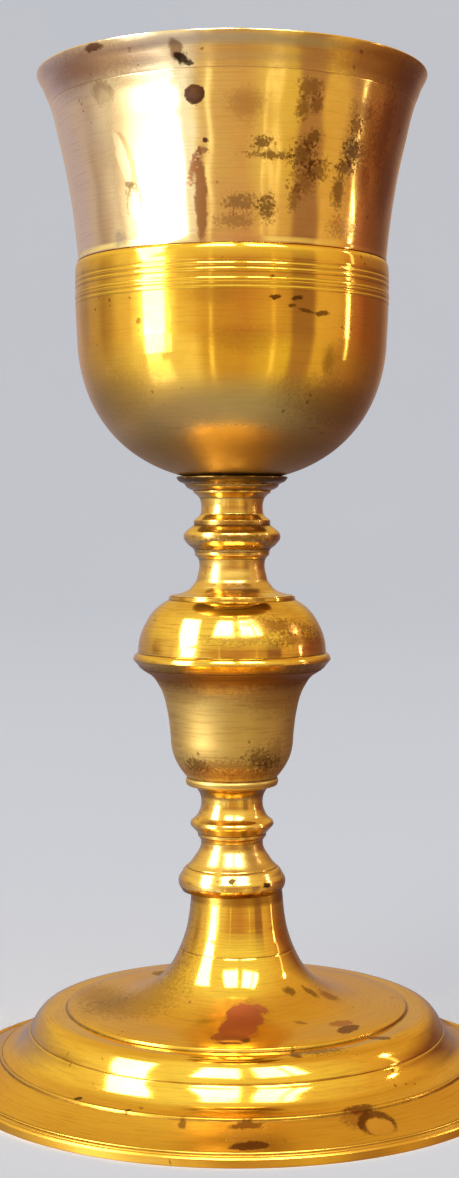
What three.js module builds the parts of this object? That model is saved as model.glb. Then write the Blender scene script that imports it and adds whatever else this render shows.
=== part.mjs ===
// A turned metal chalice, in millimetres, +Z up, standing on its foot at z = 0.
// Six pieces are stacked along one axis: foot, lower knop, node, upper knop, cup holder and cup.
import * as THREE from 'three';

// Foot: a dished brim, a cove, an ovolo and a plate that sweeps up into a trumpet
const foot = {
  radius: 68.8,
  edgeHeight: 1.5,
  edgeRound: 0.7,
  footingWidth: 3,
  brimOuterRadius: 66.4,
  brimRise: 4.2,
  coveRadius: 57.7,
  coveStep: 0.5,
  coveTurnRadius: 52.9,
  coveTurnRise: 1.95,
  coveRise: 3.15,
  ovoloRadius: 50.5,
  bankRadius: 48.5,
  bankRise: 3.3,
  ovoloRise: 1.5,
  plateRadius: 41.3,
  plateStep: 0.6,
  plateRise: 4.1,
  flareRadius: 21.5,
  flareRise: 9.9,
  trumpetRadius: 13.9,
  trumpetRise: 13.8,
  topRadius: 11.1,
  wall: 1.6,
  topWall: 2.2,
};

// Lower knop: a round collar, a waist, a sharp ring and a second waist
const lowerKnop = {
  seatRadius: 12.3,
  collarRadius: 13.1,
  collarRise: 2.5,
  collarFall: 3.2,
  bellRadius: 11.1,
  bellRise: 6.3,
  waistRadius: 7.5,
  filletRadius: 8.2,
  filletRise: 1.2,
  filletHeight: 0.8,
  ringRise: 1.8,
  ringRadius: 10.2,
  ringEdge: 0.3,
  ringFall: 1.3,
  shoulderRadius: 9.3,
  neckRise: 4.5,
  neckRadius: 7.5,
  topRise: 3.6,
  topRadius: 9.2,
};

// Node: a bell-shaped body with a lip below, a sharp ring above it and a dome on top
const node = {
  seatRadius: 9.6,
  lipRadius: 11.3,
  lipRise: 1,
  lipHeight: 0.8,
  lipStep: 0.3,
  bellRise: 9.2,
  bellRadius: 14.8,
  throatRise: 17.2,
  throatRadius: 21.4,
  coveRise: 2.7,
  ringRadius: 24.05,
  ringEdge: 0.3,
  ringFall: 1.5,
  domeRadius: 22.95,
  domeRise: 12.7,
  shoulderRadius: 15.6,
  collarRadius: 15.35,
  collarHeight: 0.75,
};

// Upper knop: a flared root, a neck, a round ring, a waist and the flange that carries the cup holder
const upperKnop = {
  rootRadius: 14.9,
  rootRise: 7.6,
  neckRadius: 7.95,
  lipRise: 2.3,
  lipRadius: 9.05,
  lipHeight: 0.9,
  ringRise: 3.6,
  ringRadius: 11.8,
  ringFall: 2.7,
  bandRadius: 9.35,
  bandHeight: 1.4,
  waistFall: 3.2,
  waistRadius: 7.5,
  cupRise: 3.3,
  cupRadius: 9.1,
  filletRadius: 9.4,
  filletHeight: 0.6,
  flangeRise: 2.9,
  flangeRadius: 13.5,
  flangeEdge: 0.5,
};

// Cup holder: a thin bowl with a nearly upright wall, thinned at its rim
const holder = {
  bottomRadius: 11.5,
  bowlRadius: 37.3,
  bowlRise: 31,
  wallRadius: 37.9,
  wallRise: 16.6,
  rimTaper: 0.6,
  rimRise: 3.7,
  rimWidth: 0.6,
  wall: 1.15,
};

// Cup: a beaker that stands in the holder on its shoulder and flares to a lip
const cup = {
  clearance: 0.3,
  wall: 1,
  flareRise: 37.2,
  flareRadius: 43.8,
  lipRise: 7.1,
  lipRadius: 46.95,
  rimRound: 0.3,
};

// The foot and its trumpet stand a little to one side of the line of the stem
const stemOffset = -1.2;

// Sides of the turned pieces: more on the wide ones
const wideSides = 36;
const slimSides = 24;

// Handle length of a sweep as a share of its chord, which makes a quarter turn round
const roundness = 0.39;

// A turned outline, drawn from the bottom up as radius and height, one member of the moulding at a time
class Outline {
  constructor(radius, height = 0) {
    this.end = new THREE.Vector2(radius, height);
    this.points = [this.end.clone()];
  }

  // Straight member to a new radius, rising by the given height
  line(radius, rise = 0) {
    this.end = new THREE.Vector2(radius, this.end.y + rise);
    this.points.push(this.end.clone());
    return this;
  }

  // Upright face
  rise(height) {
    return this.line(this.end.x, height);
  }

  // Curved member that leaves and arrives at the given angles, in degrees:
  // 0 points outwards, 90 straight up and 180 towards the axis
  sweep(radius, rise, leave, arrive, steps) {
    const start = this.end;
    const end = new THREE.Vector2(radius, start.y + rise);
    const handle = roundness * start.distanceTo(end);
    const along = (degrees) => new THREE.Vector2(
      handle * Math.cos(THREE.MathUtils.degToRad(degrees)),
      handle * Math.sin(THREE.MathUtils.degToRad(degrees)),
    );
    const startHandle = start.clone().add(along(leave));
    const endHandle = end.clone().sub(along(arrive));
    const curve = new THREE.CubicBezierCurve(start, startHandle, endHandle, end);
    this.points.push(...curve.getPoints(steps).slice(1));
    this.end = end;
    return this;
  }
}

// Moves an outline square to its run, towards the axis and the inside of the metal
function inset(points, depth) {
  return points.map((point, i) => {
    const before = points[Math.max(i - 1, 0)];
    const after = points[Math.min(i + 1, points.length - 1)];
    const run = after.clone().sub(before).normalize();
    return new THREE.Vector2(point.x - depth * run.y, point.y + depth * run.x);
  });
}

// Turns a closed outline about the z axis
function turn(name, points, sides, material) {
  const geometry = new THREE.LatheGeometry(points, sides);
  geometry.rotateX(Math.PI / 2);
  const mesh = new THREE.Mesh(geometry, material);
  mesh.name = name;
  return mesh;
}

// A solid piece: its outline is closed along the axis, below and above
function solid(name, outline, sides, material) {
  const onAxis = (height) => new THREE.Vector2(0, height);
  return turn(name, [onAxis(0), ...outline.points, onAxis(outline.end.y)], sides, material);
}

// Foot, hollow below, with its trumpet closed by a flat top
function makeFoot(material) {
  const brim = new Outline(foot.brimOuterRadius, foot.edgeHeight + foot.edgeRound)
    .sweep(foot.coveRadius, foot.brimRise, 162, 150, 2);
  const cove = new Outline(foot.coveRadius, brim.end.y + foot.coveStep)
    .sweep(foot.coveTurnRadius, foot.coveTurnRise, 165, 132, 2)
    .sweep(foot.ovoloRadius, foot.coveRise, 130, 116, 2);
  const ovolo = new Outline(foot.ovoloRadius, cove.end.y)
    .sweep(foot.bankRadius, foot.bankRise, 115, 130, 2)
    .sweep(foot.plateRadius, foot.ovoloRise, 132, 178, 2);
  const rise = new Outline(foot.plateRadius, ovolo.end.y + foot.plateStep)
    .sweep(foot.flareRadius, foot.plateRise, 171, 146, 2)
    .sweep(foot.trumpetRadius, foot.flareRise, 146, 112, 4)
    .sweep(foot.topRadius, foot.trumpetRise, 112, 95, 2);

  const top = rise.end.y;
  const outside = [
    new THREE.Vector2(foot.radius, 0),
    new THREE.Vector2(foot.radius, foot.edgeHeight),
    new THREE.Vector2(foot.radius - foot.edgeRound, foot.edgeHeight + foot.edgeRound),
    ...brim.points,
    ...cove.points,
    ...ovolo.points.slice(1),
    ...rise.points,
  ];

  // The underside follows the top without its two small steps
  const form = [...brim.points, ...cove.points.slice(1), ...ovolo.points.slice(1), ...rise.points.slice(1)];
  const hollow = inset(form, foot.wall).filter((point) => point.y < top - foot.topWall - foot.wall);
  const inside = [
    new THREE.Vector2(0, top - foot.topWall),
    new THREE.Vector2(foot.topRadius - foot.wall, top - foot.topWall),
    ...hollow.slice(1).reverse(),
    new THREE.Vector2(foot.radius - foot.footingWidth, 0),
  ];
  const piece = turn('foot', [...inside, ...outside, new THREE.Vector2(0, top)], wideSides, material);
  return { piece, height: top };
}

// Lower knop, from the collar on the trumpet up to the node
function makeLowerKnop() {
  return new Outline(lowerKnop.seatRadius)
    .sweep(lowerKnop.collarRadius, lowerKnop.collarRise, 50, 90, 2)
    .sweep(lowerKnop.bellRadius, lowerKnop.collarFall, 90, 150, 3)
    .sweep(lowerKnop.waistRadius, lowerKnop.bellRise, 135, 90, 3)
    .sweep(lowerKnop.filletRadius, lowerKnop.filletRise, 90, 50, 2)
    .rise(lowerKnop.filletHeight)
    .line(lowerKnop.ringRadius, lowerKnop.ringRise)
    .rise(lowerKnop.ringEdge)
    .sweep(lowerKnop.shoulderRadius, lowerKnop.ringFall, 100, 150, 2)
    .sweep(lowerKnop.neckRadius, lowerKnop.neckRise, 130, 90, 3)
    .sweep(lowerKnop.topRadius, lowerKnop.topRise, 90, 50, 3);
}

// Node, from its lip up to the flat that carries the upper knop
function makeNode() {
  return new Outline(node.seatRadius)
    .line(node.lipRadius, node.lipRise)
    .rise(node.lipHeight)
    .line(node.lipRadius - node.lipStep, node.lipStep)
    .sweep(node.bellRadius, node.bellRise, 50, 87, 4)
    .sweep(node.throatRadius, node.throatRise, 88, 24, 5)
    .sweep(node.ringRadius, node.coveRise, 70, 45, 2)
    .rise(node.ringEdge)
    .sweep(node.domeRadius, node.ringFall, 95, 150, 2)
    .sweep(node.shoulderRadius, node.domeRise, 91, 147, 5)
    .line(node.collarRadius)
    .rise(node.collarHeight);
}

// Upper knop, from its root on the node up to the flange
function makeUpperKnop() {
  return new Outline(upperKnop.rootRadius)
    .sweep(upperKnop.neckRadius, upperKnop.rootRise, 172, 90, 4)
    .sweep(upperKnop.lipRadius, upperKnop.lipRise, 90, 50, 2)
    .rise(upperKnop.lipHeight)
    .sweep(upperKnop.ringRadius, upperKnop.ringRise, 45, 90, 3)
    .sweep(upperKnop.bandRadius, upperKnop.ringFall, 90, 150, 3)
    .rise(upperKnop.bandHeight)
    .sweep(upperKnop.waistRadius, upperKnop.waistFall, 150, 90, 3)
    .sweep(upperKnop.cupRadius, upperKnop.cupRise, 90, 45, 2)
    .line(upperKnop.filletRadius)
    .rise(upperKnop.filletHeight)
    .sweep(upperKnop.flangeRadius, upperKnop.flangeRise, 15, 55, 3)
    .rise(upperKnop.flangeEdge);
}

// The holder's outer face below its thinned rim, which the faces inside it follow
const bowl = new Outline(holder.bottomRadius)
  .sweep(holder.bowlRadius, holder.bowlRise, 14, 86, 5)
  .line(holder.wallRadius, holder.wallRise);
const holderHeight = bowl.end.y + holder.rimRise;

// The holder's rim, drawn in a little from the top of its wall
const rimRadius = holder.wallRadius - holder.rimTaper;
const mouthRadius = rimRadius - holder.rimWidth;

// The bowl's face moved inwards by a depth, ending upright below the holder's rim at the given radius
function bowlFace(depth, topRadius, topHeight) {
  const face = inset(bowl.points, depth);
  face[0] = new THREE.Vector2(holder.bottomRadius, depth);
  face[face.length - 1] = new THREE.Vector2(topRadius, bowl.end.y);
  return [new THREE.Vector2(0, depth), ...face, new THREE.Vector2(topRadius, topHeight)];
}

// Cup holder, open above
function makeHolder(material) {
  const outside = [new THREE.Vector2(0, 0), ...bowl.points, new THREE.Vector2(rimRadius, holderHeight)];
  const inside = bowlFace(holder.wall, mouthRadius, holderHeight).reverse();
  return turn('cup_holder', [...outside, ...inside], wideSides, material);
}

// Cup: its lower part hangs clear inside the holder and its shoulder stands on the holder's rim
function makeCup(material) {
  const bodyRadius = mouthRadius - cup.clearance;
  const flare = new Outline(rimRadius, holderHeight)
    .sweep(cup.flareRadius, cup.flareRise, 82, 73, 5)
    .line(cup.lipRadius, cup.lipRise);
  const rimHeight = flare.end.y + cup.rimRound;
  const outside = [
    ...bowlFace(holder.wall + cup.clearance, bodyRadius, holderHeight),
    ...flare.points,
    new THREE.Vector2(cup.lipRadius - cup.rimRound, rimHeight),
  ];
  const inside = [
    ...bowlFace(holder.wall + cup.clearance + cup.wall, bodyRadius - cup.wall, holderHeight - holder.rimRise),
    ...inset(flare.points, cup.wall).slice(1, -1),
    new THREE.Vector2(cup.lipRadius - cup.wall, rimHeight),
  ];
  return turn('cup', [...outside, ...inside.reverse()], wideSides, material);
}

function metal(name, color, roughness) {
  return new THREE.MeshStandardMaterial({ name, color, roughness, metalness: 1 });
}

const gilt = (name) => metal(name, 0xc99a3a, 0.28);
const wornGilt = metal('worn gilding over silver', 0xcdb587, 0.35);

// Each piece stands on the one below
const footPart = makeFoot(gilt('gilt brass foot'));
const lowerKnopOutline = makeLowerKnop();
const nodeOutline = makeNode();
const upperKnopOutline = makeUpperKnop();
const stack = [
  [solid('lower_knop', lowerKnopOutline, slimSides, gilt('gilt brass lower knop')), lowerKnopOutline.end.y],
  [solid('node', nodeOutline, slimSides, gilt('gilt brass node')), nodeOutline.end.y],
  [solid('upper_knop', upperKnopOutline, slimSides, gilt('gilt brass upper knop')), upperKnopOutline.end.y],
  [makeHolder(gilt('gilt brass cup holder')), 0],
  [makeCup(wornGilt), 0],
];

const chalice = new THREE.Group();
chalice.add(footPart.piece);
let height = footPart.height;
for (const [piece, rise] of stack) {
  piece.position.set(stemOffset, 0, height);
  chalice.add(piece);
  height += rise;
}

export default chalice;
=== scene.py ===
import bpy
import numpy as np
from mathutils import Euler, Matrix


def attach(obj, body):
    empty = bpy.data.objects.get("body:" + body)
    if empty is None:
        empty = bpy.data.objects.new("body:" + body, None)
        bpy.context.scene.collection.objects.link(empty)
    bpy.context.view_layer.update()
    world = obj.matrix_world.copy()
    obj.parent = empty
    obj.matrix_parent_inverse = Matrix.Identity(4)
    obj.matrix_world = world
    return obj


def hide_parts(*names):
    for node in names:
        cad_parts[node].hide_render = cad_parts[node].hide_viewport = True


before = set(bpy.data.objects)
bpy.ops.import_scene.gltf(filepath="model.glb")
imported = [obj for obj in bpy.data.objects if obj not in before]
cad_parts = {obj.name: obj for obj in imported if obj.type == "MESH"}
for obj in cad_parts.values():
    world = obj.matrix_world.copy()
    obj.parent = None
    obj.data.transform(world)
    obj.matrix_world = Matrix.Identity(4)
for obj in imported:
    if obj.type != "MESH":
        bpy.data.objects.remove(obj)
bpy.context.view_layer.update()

# Foot
# The foot is one sheet of brass, raised over stakes and turned true: a dished brim, a cove, an ovolo and a
# plate that sweeps up into the trumpet. It is gilt, hollow below, and has red-brown stains where the gilding
# is thin. The stem stands on the flat top of the trumpet.

MM = 0.001


def sweep(start, end, leave, arrive):
    """A cubic Bezier from start to end, as radius and height in mm.

    Both handles are the same share of the chord, close to that of a quarter circle. leave and arrive are the
    directions at the ends, in degrees: 0 points outwards, 90 up and 180 towards the axis."""
    start, end = np.array(start, float), np.array(end, float)
    handle_share = 0.39
    handle = handle_share * np.linalg.norm(end - start)
    go, come = np.radians(leave), np.radians(arrive)
    first = start + handle * np.array([np.cos(go), np.sin(go)])
    last = end - handle * np.array([np.cos(come), np.sin(come)])
    t = np.linspace(0, 1, 60)[1:, None]
    return (1 - t) ** 3 * start + 3 * (1 - t) ** 2 * t * first + 3 * (1 - t) * t ** 2 * last + t ** 3 * end


def moulding(start, *members):
    """An outline from the bottom up: a member of two numbers is a straight line to that radius and height,
    and one of four is a sweep to it with its leaving and arriving directions."""
    points = [np.array([start], float)]
    for member in members:
        if len(member) == 2:
            points.append(np.array([member], float))
        else:
            points.append(sweep(points[-1][-1], member[:2], *member[2:]))
    return np.concatenate(points)


def eased(outline, ease, spacing, bend=0.9):
    """The outline with its corners rounded, and its bends.

    It is sampled at a fine step, averaged over the length ease on each side, with its ends kept, and then
    thinned so that the points lie spacing apart where it runs straight and closer where it bends. A bend is
    the turn to the left, in radians for each mm: above 0 on a crest, below 0 in a hollow."""
    step, turn_step = 0.04, np.radians(9)
    run = np.concatenate([[0], np.cumsum(np.hypot(*np.diff(outline, axis=0).T))])
    keep = np.concatenate([[True], np.diff(run) > 1e-9])
    run, outline = run[keep], outline[keep]
    dense = np.linspace(0, run[-1], int(run[-1] / step) + 2)
    fine = np.stack([np.interp(dense, run, outline[:, k]) for k in (0, 1)], 1)
    half = max(int(round(ease / step)), 1)
    window = np.hanning(2 * half + 3)[1:-1]
    window /= window.sum()
    before = 2 * fine[0] - fine[1:half + 1][::-1]
    after = 2 * fine[-1] - fine[-half - 1:-1][::-1]
    padded = np.concatenate([before, fine, after])
    fine = np.stack([np.convolve(padded[:, k], window, "valid") for k in (0, 1)], 1)
    way = np.unwrap(np.arctan2(np.gradient(fine[:, 1]), np.gradient(fine[:, 0])))
    turn = np.gradient(way) / step
    effort = np.concatenate([[0], np.cumsum(step / spacing + bend * np.abs(np.diff(way)) / turn_step)])
    places = np.interp(np.linspace(0, effort[-1], int(effort[-1]) + 2), effort, dense)
    points = np.stack([np.interp(places, dense, fine[:, k]) for k in (0, 1)], 1)
    return points, np.interp(places, dense, turn)


def joined(first, second):
    """Two eased outlines end to end, with their bends."""
    return [np.concatenate([one, two[1:]]) for one, two in zip(first, second)]


def length(points):
    """The way along a line of points, in mm."""
    return np.hypot(*np.diff(points, axis=0).T).sum()


def turned(name, points, bends, sides, axis_x, uneven=None):
    """A closed surface of revolution. The point (r, z) of the outline at angle a goes to
    x = axis_x + r sin a, y = -r cos a, so a is 0 towards the front and grows to the right.

    A point on the axis is one vertex. uneven(a, r, z) gives how far each vertex lies off its circle, in mm.
    The mesh keeps the outline's bends as the attribute bend, and the way along it in mm as run."""
    angle = np.linspace(0, 2 * np.pi, sides, endpoint=False) - np.pi
    radius, height = points[:, :1], points[:, 1:]
    pole = points[:, 0] < 1e-6
    grid_r = np.repeat(radius, sides, 1)
    grid_z = np.repeat(height, sides, 1)
    grid_a = np.repeat(angle[None], len(points), 0)
    if uneven is not None:
        grid_r = grid_r + uneven(grid_a, grid_r, grid_z) * ~pole[:, None]
    ids = np.arange(grid_r.size).reshape(grid_r.shape)
    ids[pole] = ids[pole][:, :1]
    right = np.roll(ids, -1, 1)
    quads = np.stack([ids[:-1], right[:-1], right[1:], ids[1:]], -1)
    wall = ~pole[:-1] & ~pole[1:]
    start, end = pole[:-1] & ~pole[1:], ~pole[:-1] & pole[1:]
    used = np.unique(ids)
    renamed = np.zeros(ids.size, int)
    renamed[used] = np.arange(len(used))
    quads = renamed[quads]
    faces = quads[wall].reshape(-1, 4).tolist()
    faces += quads[start][..., [0, 2, 3]].reshape(-1, 3).tolist()
    faces += quads[end][..., [0, 1, 2]].reshape(-1, 3).tolist()
    place = np.stack([axis_x + grid_r * np.sin(grid_a), -grid_r * np.cos(grid_a), grid_z], -1).reshape(-1, 3)
    mesh = bpy.data.meshes.new(name)
    mesh.from_pydata((place[used] * MM).tolist(), [], faces)
    along = np.concatenate([[0], np.cumsum(np.hypot(*np.diff(points, axis=0).T))])
    for label, values in (("bend", bends), ("run", along)):
        attribute = mesh.attributes.new(label, "FLOAT", "POINT")
        attribute.data.foreach_set("value", np.repeat(values, sides)[used].astype(np.float32))
    mesh.polygons.foreach_set("use_smooth", np.ones(len(mesh.polygons), bool))
    mesh.update()
    piece = bpy.data.objects.new(name, mesh)
    bpy.context.scene.collection.objects.link(piece)
    return piece


def linear(code):
    """An sRGB hex colour as linear light: c / 12.92 up to 0.04045, and ((c + 0.055) / 1.055) ** 2.4 above."""
    c = np.array([int(code[k:k + 2], 16) / 255 for k in (1, 3, 5)])
    light = np.where(c <= 0.04045, c / 12.92, ((c + 0.055) / 1.055) ** 2.4)
    return (*light.tolist(), 1.0)


def node(tree, kind, inputs=None, out=0, stops=None, **settings):
    """Adds a node with its settings, and its inputs as values or other nodes' outputs. Gives its output."""
    made = tree.nodes.new(kind)
    for label, value in settings.items():
        setattr(made, label, value)
    if stops:
        elements = made.color_ramp.elements
        elements[0].position, elements[1].position = stops[0][0], stops[-1][0]
        elements[0].color, elements[1].color = stops[0][1], stops[-1][1]
        for place, colour in stops[1:-1]:
            elements.new(place).color = colour
    for label, value in (inputs or {}).items():
        if isinstance(value, bpy.types.NodeSocket):
            tree.links.new(value, made.inputs[label])
        else:
            made.inputs[label].default_value = value
    return made.outputs[out] if made.outputs else made


def gilding(name, axis_x, reach, bright, deep, roughness, stains, flat=False, silver=None, dull=(),
            grime=0.8, brushed=0.25, outer=(0, 1000)):
    """A thin layer of gold over the metal. It keeps its colour on the crests and is brown and dull in the
    hollows, so that each moulding is drawn by a dark line, and it has the stains listed, some of them bands
    of painted shade.

    A stain is (u, v, half-width, half-height, turn, soft edge, strength, colour, raggedness), in mm and
    degrees, and a band of painted shade is given in the same way. u and v are the way round at the radius
    reach and the height, or x and y on a flat piece.
    silver is the colour that shows where the gold is worn away. dull is a list of worn bands, some of them
    also darkened as painted shade, each (height, spread, roughness, colour, its share). grime is how dark the
    hollows are, and brushed how strong the streaks of the turning and polishing. The stains and the silver
    stay on the stretch outer of the outline, from and to in mm, so that they don't come through the wall."""
    material = bpy.data.materials.new(name)
    material.use_nodes = True
    tree = material.node_tree
    tree.nodes.clear()
    where = node(tree, "ShaderNodeTexCoord", out=3)
    mm = node(tree, "ShaderNodeMapping",
              {"Vector": where, "Location": (axis_x * MM, 0, 0), "Scale": (MM, MM, MM)},
              vector_type="TEXTURE")
    split = node(tree, "ShaderNodeSeparateXYZ", {0: mm}).node
    back = node(tree, "ShaderNodeMath", {0: split.outputs[1], 1: -1.0}, operation="MULTIPLY")
    angle = node(tree, "ShaderNodeMath", {0: split.outputs[0], 1: back}, operation="ARCTAN2")
    arc = node(tree, "ShaderNodeMath", {0: angle, 1: float(reach)}, operation="MULTIPLY")
    run = node(tree, "ShaderNodeAttribute", out=2, attribute_name="run")
    outer_middle, outer_half = sum(outer) / 2, (outer[1] - outer[0]) / 2
    open_side = node(tree, "ShaderNodeMath", {0: run, 1: outer_middle, 2: outer_half}, operation="COMPARE")
    hidden = node(tree, "ShaderNodeMath", {0: 1.0, 1: open_side}, operation="SUBTRACT")
    # Far enough to one side, in mm, that no stain and no worn patch reaches the hidden side
    past_stains, past_silver = 1000.0, 200.0
    aside = node(tree, "ShaderNodeMath", {0: hidden, 1: past_stains, 2: split.outputs[0] if flat else arc},
                 operation="MULTIPLY_ADD")
    sheet = node(tree, "ShaderNodeCombineXYZ", {0: aside, 1: split.outputs[1 if flat else 2], 2: 0.0})
    # The stains' edges wander by up to 0.9 mm over some 2 mm, and crumble over less than 1 mm
    ragged = node(tree, "ShaderNodeTexNoise",
                  {"Vector": mm, "Scale": 0.55, "Detail": 4.0, "Roughness": 0.6}, out=1)
    shifted = node(tree, "ShaderNodeVectorMath", {0: ragged, 1: (0.5, 0.5, 0.5)}, operation="SUBTRACT")
    pushed = node(tree, "ShaderNodeVectorMath", {0: shifted, 3: 1.8}, operation="SCALE")
    torn = node(tree, "ShaderNodeVectorMath", {0: sheet, 1: pushed}, operation="ADD")
    crumbs = node(tree, "ShaderNodeTexNoise", {"Vector": mm, "Scale": 1.3, "Detail": 5.0, "Roughness": 0.7})
    crumb = node(tree, "ShaderNodeMath", {0: crumbs, 1: 0.5}, operation="SUBTRACT")

    # Gold in two tones that drift over some 30 mm, mottled at 3 mm
    drift = node(tree, "ShaderNodeTexNoise", {"Vector": mm, "Scale": 0.035, "Detail": 3.0, "Roughness": 0.55})
    mottle = node(tree, "ShaderNodeTexNoise", {"Vector": mm, "Scale": 0.35, "Detail": 5.0, "Roughness": 0.65})
    blend = node(tree, "ShaderNodeMath", {0: mottle, 1: 0.45, 2: drift}, operation="MULTIPLY_ADD")
    share = node(tree, "ShaderNodeMapRange", {0: blend, 1: 0.52, 2: 0.95, 3: 0.0, 4: 1.0})
    colour = node(tree, "ShaderNodeMix", {0: share, 6: linear(bright), 7: linear(deep)}, out=2,
                  data_type="RGBA")
    if silver:
        # The gold is worn through to the left of the front, and thin beside that
        patch = node(tree, "ShaderNodeTexNoise",
                     {"Vector": mm, "Scale": 0.09, "Detail": 5.0, "Roughness": 0.6})
        edge = node(tree, "ShaderNodeMapRange", {0: patch, 1: 0.3, 2: 0.7, 3: -2.0, 4: 2.0})
        place = node(tree, "ShaderNodeMath", {0: split.outputs[0], 1: edge}, operation="ADD")
        place = node(tree, "ShaderNodeMath", {0: hidden, 1: past_silver, 2: place}, operation="MULTIPLY_ADD")
        left_to_right = node(tree, "ShaderNodeMapRange", {0: place, 1: -50.0, 2: 50.0})
        bare = node(tree, "ShaderNodeFloatCurve", {1: left_to_right})
        curve = bare.node.mapping.curves[0].points
        curve[0].location, curve[1].location = (0, 0.8), (1, 0)
        for spot in ((0.4, 0.8), (0.43, 0.45), (0.5, 0.32), (0.6, 0.2), (0.7, 0.05)):
            curve.new(*spot)
        bare.node.mapping.update()
        colour = node(tree, "ShaderNodeMix", {0: bare, 6: colour, 7: linear(silver)}, out=2,
                      data_type="RGBA")

    # Bands that are worn matt, some of them darkened as painted shade, on a gloss that varies a little with
    # the mottling
    base = node(tree, "ShaderNodeMapRange",
                {0: mottle, 1: 0.3, 2: 0.7, 3: roughness * 0.85, 4: roughness * 1.2})
    for height, spread, matt, tint, share in dull:
        away = node(tree, "ShaderNodeMath", {0: split.outputs[2], 1: float(height)}, operation="SUBTRACT")
        far = node(tree, "ShaderNodeMath", {0: away}, operation="ABSOLUTE")
        near = node(tree, "ShaderNodeMapRange", {0: far, 1: float(spread), 2: spread * 0.5, 3: 0.0, 4: 1.0},
                    interpolation_type="SMOOTHSTEP")
        base = node(tree, "ShaderNodeMath", {0: near, 1: matt - roughness, 2: base}, operation="MULTIPLY_ADD")
        part = node(tree, "ShaderNodeMath", {0: near, 1: float(share)}, operation="MULTIPLY")
        colour = node(tree, "ShaderNodeMix", {0: part, 6: colour, 7: linear(tint)}, out=2, data_type="RGBA")
    if silver:
        matt = node(tree, "ShaderNodeMapRange", {0: bare, 1: 0.5, 2: 0.75, 3: 0.0, 4: 0.01})
        base = node(tree, "ShaderNodeMath", {0: base, 1: matt}, operation="ADD")

    # Streaks of the turning and polishing, some 10 mm long round the piece and 0.4 mm apart
    streak_run = node(tree, "ShaderNodeMath", {0: run, 1: 2.4}, operation="MULTIPLY")
    streak_way = node(tree, "ShaderNodeVectorMath", {0: mm, 1: (0.1, 0.1, 0.0)}, operation="MULTIPLY")
    streak_rise = node(tree, "ShaderNodeCombineXYZ", {2: streak_run})
    streak_place = node(tree, "ShaderNodeVectorMath", {0: streak_way, 1: streak_rise}, operation="ADD")
    streaks = node(tree, "ShaderNodeTexNoise",
                   {"Vector": streak_place, "Scale": 1.0, "Detail": 4.0, "Roughness": 0.65})
    dim = node(tree, "ShaderNodeMapRange", {0: streaks, 1: 0.48, 2: 0.72, 3: 0.0, 4: float(brushed)})
    colour = node(tree, "ShaderNodeMix", {0: dim, 6: colour, 7: linear("#7a4a1c")}, out=2,
                  data_type="RGBA")

    # Dirt and tarnish stay in the hollows and seams, which the polishing cloth can't reach
    bend = node(tree, "ShaderNodeAttribute", out=2, attribute_name="bend")
    sunk = node(tree, "ShaderNodeMapRange", {0: bend, 1: -0.2, 2: -2.0, 3: 0.0, 4: float(grime)})
    cover = node(tree, "ShaderNodeMapRange", {0: mottle, 1: 0.3, 2: 0.6, 3: 0.55, 4: 1.0})
    hollow = node(tree, "ShaderNodeMath", {0: sunk, 1: cover}, operation="MULTIPLY", use_clamp=True)
    colour = node(tree, "ShaderNodeMix", {0: hollow, 6: colour, 7: linear("#4a2810")}, out=2,
                  data_type="RGBA")

    # Fine specks of tarnish, up to 1.5 mm across, that gather in places
    cells = node(tree, "ShaderNodeTexVoronoi", {"Vector": torn, "Scale": 0.35, "Randomness": 1.0})
    few = node(tree, "ShaderNodeTexNoise", {"Vector": mm, "Scale": 0.12, "Detail": 2.0})
    size = node(tree, "ShaderNodeMapRange", {0: few, 1: 0.48, 2: 0.75, 3: 0.0, 4: 0.26})
    inner = node(tree, "ShaderNodeMath", {0: size, 1: 0.6}, operation="MULTIPLY")
    speck = node(tree, "ShaderNodeMapRange", {0: cells, 1: size, 2: inner, 3: 0.0, 4: 0.6})
    colour = node(tree, "ShaderNodeMix", {0: speck, 6: colour, 7: linear("#6b3614")}, out=2, data_type="RGBA")

    # The stains, and the bands of painted shade among them, each an ellipse with a ragged edge
    worn = hollow
    for u, v, wide, high, turn, soft, strength, tint, loose in stains:
        local = node(tree, "ShaderNodeMapping", {"Vector": torn, "Location": (u, v, 0),
                     "Rotation": (0, 0, np.radians(turn)), "Scale": (wide, high, 1)}, vector_type="TEXTURE")
        off = node(tree, "ShaderNodeVectorMath", {0: local}, out=1, operation="LENGTH")
        broken = node(tree, "ShaderNodeMath", {0: crumb, 1: float(loose), 2: off}, operation="MULTIPLY_ADD")
        cover = node(tree, "ShaderNodeMapRange", {0: broken, 1: 1 + soft, 2: 1 - soft, 3: 0.0, 4: strength},
                     interpolation_type="SMOOTHSTEP")
        colour = node(tree, "ShaderNodeMix", {0: cover, 6: colour, 7: linear(tint)}, out=2, data_type="RGBA")
        worn = node(tree, "ShaderNodeMath", {0: worn, 1: cover}, operation="MAXIMUM")

    gloss = node(tree, "ShaderNodeMath", {0: worn, 1: 0.22, 2: base}, operation="MULTIPLY_ADD",
                 use_clamp=True)

    # The streaks are fine scratches too, and the polishing left faint ones in every direction
    rough = node(tree, "ShaderNodeTexNoise", {"Vector": mm, "Scale": 1.6, "Detail": 3.0})
    height = node(tree, "ShaderNodeMath", {0: rough, 1: 0.5, 2: streaks}, operation="MULTIPLY_ADD")
    relief = node(tree, "ShaderNodeBump", {"Strength": 0.1, "Distance": 0.00004, "Height": height})
    shader = node(tree, "ShaderNodeBsdfPrincipled",
                  {"Base Color": colour, "Metallic": 1.0, "Roughness": gloss, "Normal": relief})
    node(tree, "ShaderNodeOutputMaterial", {0: shader})
    return material


def fit(piece, material, cad_node):
    """Gives the piece its material and the body root, and hides the CAD part of the same node."""
    piece.data.materials.append(material)
    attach(piece, "root")
    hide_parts(cad_node)


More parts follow.
